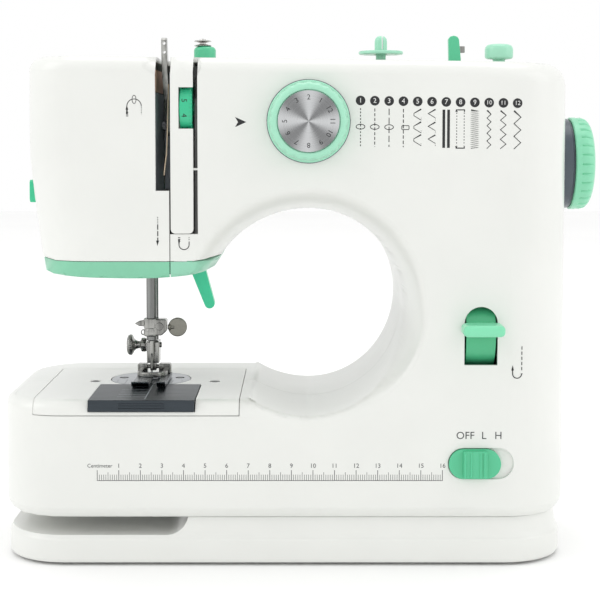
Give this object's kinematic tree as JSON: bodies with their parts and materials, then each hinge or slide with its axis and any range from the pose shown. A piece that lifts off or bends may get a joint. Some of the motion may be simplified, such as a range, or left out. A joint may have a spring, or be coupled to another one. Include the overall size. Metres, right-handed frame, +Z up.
{
  "type": "sewing machine",
  "caption": "Compact free-arm household sewing machine with a pattern dial, hand wheel, reverse lever, speed switch and a slide-open bobbin plate.",
  "frame": {"origin": "bottom centre of the bounding box, on the table under the rubber feet", "axes": "+X runs right towards the hand wheel, +Y runs back from the front face, +Z is up"},
  "size_m": [0.2842, 0.1282, 0.2482],
  "materials": {
    "body_white": "glossy moulded",
    "mint_green": "satin gloss moulded",
    "deep_green": "glossy moulded",
    "dark_grey": "glossy moulded",
    "polished_steel": "polished",
    "brushed_dial": "spun brushed",
    "dark_plate": "satin",
    "rubber": "matte",
    "frame_metal": "cast",
    "black_plastic": "matte",
    "clear_plastic": "clear",
    "brass": "machined"
  },
  "bodies": {
    "root": {"base_tray": "body_white", "foot_front_left": "rubber", "foot_front_right": "rubber", "foot_rear_left": "rubber", "foot_rear_right": "rubber", "front_cover": "body_white", "rear_cover": "body_white", "face_cover": "body_white", "face_strip": "body_white", "head_trim_left": "mint_green", "head_trim_right": "mint_green", "head_floor": "body_white", "arm_floor": "body_white", "bed_cover": "body_white", "bed_screw_left": "polished_steel", "bed_screw_right": "polished_steel", "plate_screw_left": "polished_steel", "plate_screw_right": "polished_steel", "chassis": "frame_metal", "timing_belt": "rubber", "motor": "frame_metal", "motor_belt": "rubber", "bobbin_case": "black_plastic", "needle_plate": "polished_steel", "presser_spring": "polished_steel", "guide_base": "mint_green", "guide_discs": "polished_steel", "thread_cutter": "deep_green", "power_jack": "black_plastic", "pedal_jack": "black_plastic"},
    "drive": {"main_shaft": "polished_steel", "hand_wheel": "mint_green", "wheel_hub": "dark_grey", "shaft_pulley": "black_plastic"},
    "lower_drive": {"lower_shaft": "polished_steel", "lower_pulley": "black_plastic"},
    "hook_drive": {"hook": "polished_steel"},
    "bobbin_spool": {"bobbin": "clear_plastic"},
    "rotor": {"motor_pulley": "brass"},
    "needle_carriage": {"needle_bar": "polished_steel", "crank_link": "polished_steel", "needle_clamp": "polished_steel", "needle": "polished_steel"},
    "needle_screw": {"clamp_screw": "polished_steel"},
    "take_up": {"take_up_lever": "polished_steel"},
    "lifter": {"presser_lifter": "deep_green"},
    "presser_carriage": {"presser_bar": "polished_steel", "foot_holder": "polished_steel"},
    "holder_screw": {"foot_screw": "polished_steel"},
    "sewing_foot": {"presser_foot": "polished_steel"},
    "bobbin_slide": {"slide_plate": "dark_plate"},
    "feed": {"feed_dog": "polished_steel"},
    "stitch_dial": {"pattern_dial": "mint_green", "dial_face": "brushed_dial"},
    "tension": {"tension_dial": "deep_green"},
    "reverse": {"reverse_lever": "deep_green"},
    "speed_knob": {"speed_switch": "deep_green"},
    "winder": {"winder_spindle": "mint_green"},
    "latch": {"winder_latch": "mint_green"},
    "spool": {"spool_pin": "mint_green"}
  },
  "joints": [
    {"name": "wheel_turn", "type": "hinge", "parent": "root", "child": "drive", "pos_m": [0.1, 0.0066, 0.1864], "axis": [1, 0, 0], "continuous": true},
    {"name": "lower_turn", "type": "hinge", "parent": "root", "child": "lower_drive", "pos_m": [0, -0.0139, 0.044], "axis": [1, 0, 0], "continuous": true},
    {"name": "hook_turn", "type": "hinge", "parent": "root", "child": "hook_drive", "pos_m": [-0.0761, -0.0139, 0.06], "axis": [0, 0, 1], "continuous": true},
    {"name": "bobbin_turn", "type": "hinge", "parent": "root", "child": "bobbin_spool", "pos_m": [-0.0761, -0.0139, 0.065], "axis": [0, 0, 1], "continuous": true},
    {"name": "motor_turn", "type": "hinge", "parent": "root", "child": "rotor", "pos_m": [0.1, 0.0401, 0.11], "axis": [1, 0, 0], "continuous": true},
    {"name": "needle_bar_slide", "type": "slide", "parent": "root", "child": "needle_carriage", "axis": [0, 0, 1], "range_m": [-0.012, 0.016]},
    {"name": "clamp_screw_turn", "type": "hinge", "parent": "needle_carriage", "child": "needle_screw", "pos_m": [-0.0651, 0.0051, 0.1047], "axis": [1, 0, 0], "range_deg": [0, 360]},
    {"name": "take_up_swing", "type": "hinge", "parent": "root", "child": "take_up", "pos_m": [-0.0641, -0.0109, 0.205], "axis": [1, 0, 0], "range_deg": [0, 48]},
    {"name": "presser_lift", "type": "hinge", "parent": "root", "child": "lifter", "pos_m": [-0.0571, 0.0271, 0.143], "axis": [0, -1, 0], "range_deg": [0, 25]},
    {"name": "presser_bar_slide", "type": "slide", "parent": "root", "child": "presser_carriage", "axis": [0, 0, 1], "range_m": [0, 0.005], "deforming": ["presser_spring"]},
    {"name": "foot_screw_turn", "type": "hinge", "parent": "presser_carriage", "child": "holder_screw", "pos_m": [-0.0831, 0.0151, 0.0943], "axis": [1, 0, 0], "range_deg": [0, 360]},
    {"name": "foot_tilt", "type": "hinge", "parent": "presser_carriage", "child": "sewing_foot", "pos_m": [-0.0753, 0.0141, 0.0834], "axis": [-1, 0, 0], "range_deg": [0, 12]},
    {"name": "slide_plate_open", "type": "slide", "parent": "root", "child": "bobbin_slide", "axis": [0, -1, 0], "range_m": [0, 0.04]},
    {"name": "feed_stroke", "type": "slide", "parent": "root", "child": "feed", "axis": [0, 1, 0], "range_m": [-0.0015, 0.0015]},
    {"name": "dial_turn", "type": "hinge", "parent": "root", "child": "stitch_dial", "pos_m": [0.0028, -0.0559, 0.2067], "axis": [0, 1, 0], "continuous": true},
    {"name": "tension_turn", "type": "hinge", "parent": "root", "child": "tension", "pos_m": [-0.0531, -0.0393, 0.2128], "axis": [1, 0, 0], "range_deg": [-140, 140]},
    {"name": "reverse_press", "type": "hinge", "parent": "root", "child": "reverse", "pos_m": [0.0824, -0.0344, 0.108], "axis": [1, 0, 0], "range_deg": [0, 14], "stiffness_Nm_per_rad": 0.08, "springref_deg": -5.73},
    {"name": "switch_slide", "type": "slide", "parent": "root", "child": "speed_knob", "axis": [1, 0, 0], "range_m": [0, 0.0055]},
    {"name": "winder_turn", "type": "hinge", "parent": "root", "child": "winder", "pos_m": [0.0379, -0.0109, 0.24], "axis": [0, 0, 1], "continuous": true},
    {"name": "latch_swing", "type": "hinge", "parent": "root", "child": "latch", "pos_m": [0.0737, -0.0109, 0.229], "axis": [0, 1, 0], "range_deg": [-18, 0]},
    {"name": "spool_pull", "type": "slide", "parent": "root", "child": "spool", "axis": [0, 0, 1], "range_m": [0, 0.045]}
  ],
  "couplings": [
    {"joint": "lower_turn", "follows": "wheel_turn", "ratio": 1},
    {"joint": "hook_turn", "follows": "wheel_turn", "ratio": -1},
    {"joint": "motor_turn", "follows": "wheel_turn", "ratio": 3.2},
    {"joint": "presser_lift", "follows": "presser_bar_slide", "rad_per_m": 87.2}
  ]
}
